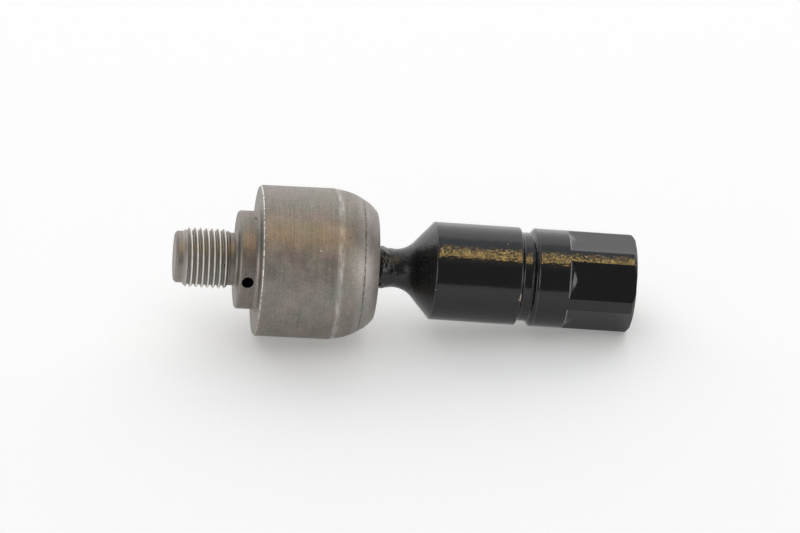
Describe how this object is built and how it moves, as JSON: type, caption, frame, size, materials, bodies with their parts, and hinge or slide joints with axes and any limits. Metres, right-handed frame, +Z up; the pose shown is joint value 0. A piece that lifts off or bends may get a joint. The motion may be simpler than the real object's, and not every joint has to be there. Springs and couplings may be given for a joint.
{
  "type": "inner tie rod",
  "caption": "Axial ball joint of a steering rack: turned steel housing with a threaded stud, and a black rod with wrench flats that swings and spins in it.",
  "frame": {"origin": "bottom centre of the bounding box, on the floor that the part lies on", "axes": "+Z up; +X along the part's length, from the stud towards the rod's threaded end; the lying housing and rod point a few degrees below +X, and the spanner hole faces -Y"},
  "size_m": [0.1236, 0.04, 0.0414],
  "materials": {
    "turned_steel": "satin turned",
    "shell_polymer": "moulded",
    "black_paint": "gloss",
    "black_grease": "wet gloss"
  },
  "bodies": {
    "housing": {"housing": "turned_steel"},
    "shell": {"bearing_shell": "shell_polymer"},
    "neck": {"neck_grease": "black_grease"},
    "rod": {"tie_rod": "black_paint"}
  },
  "joints": [
    {"name": "swing_direction", "type": "hinge", "parent": "housing", "child": "shell", "pos_m": [-0.02063, 0, 0.01999], "axis": [0.997, 0, -0.077], "continuous": true},
    {"name": "swing_tilt", "type": "hinge", "parent": "shell", "child": "neck", "pos_m": [-0.02063, 0, 0.01999], "axis": [0, 1, 0], "range_deg": [-25.25, 22.75]},
    {"name": "rod_spin", "type": "hinge", "parent": "neck", "child": "rod", "pos_m": [-0.02063, 0, 0.01999], "axis": [0.9951, 0, -0.0988], "continuous": true}
  ]
}
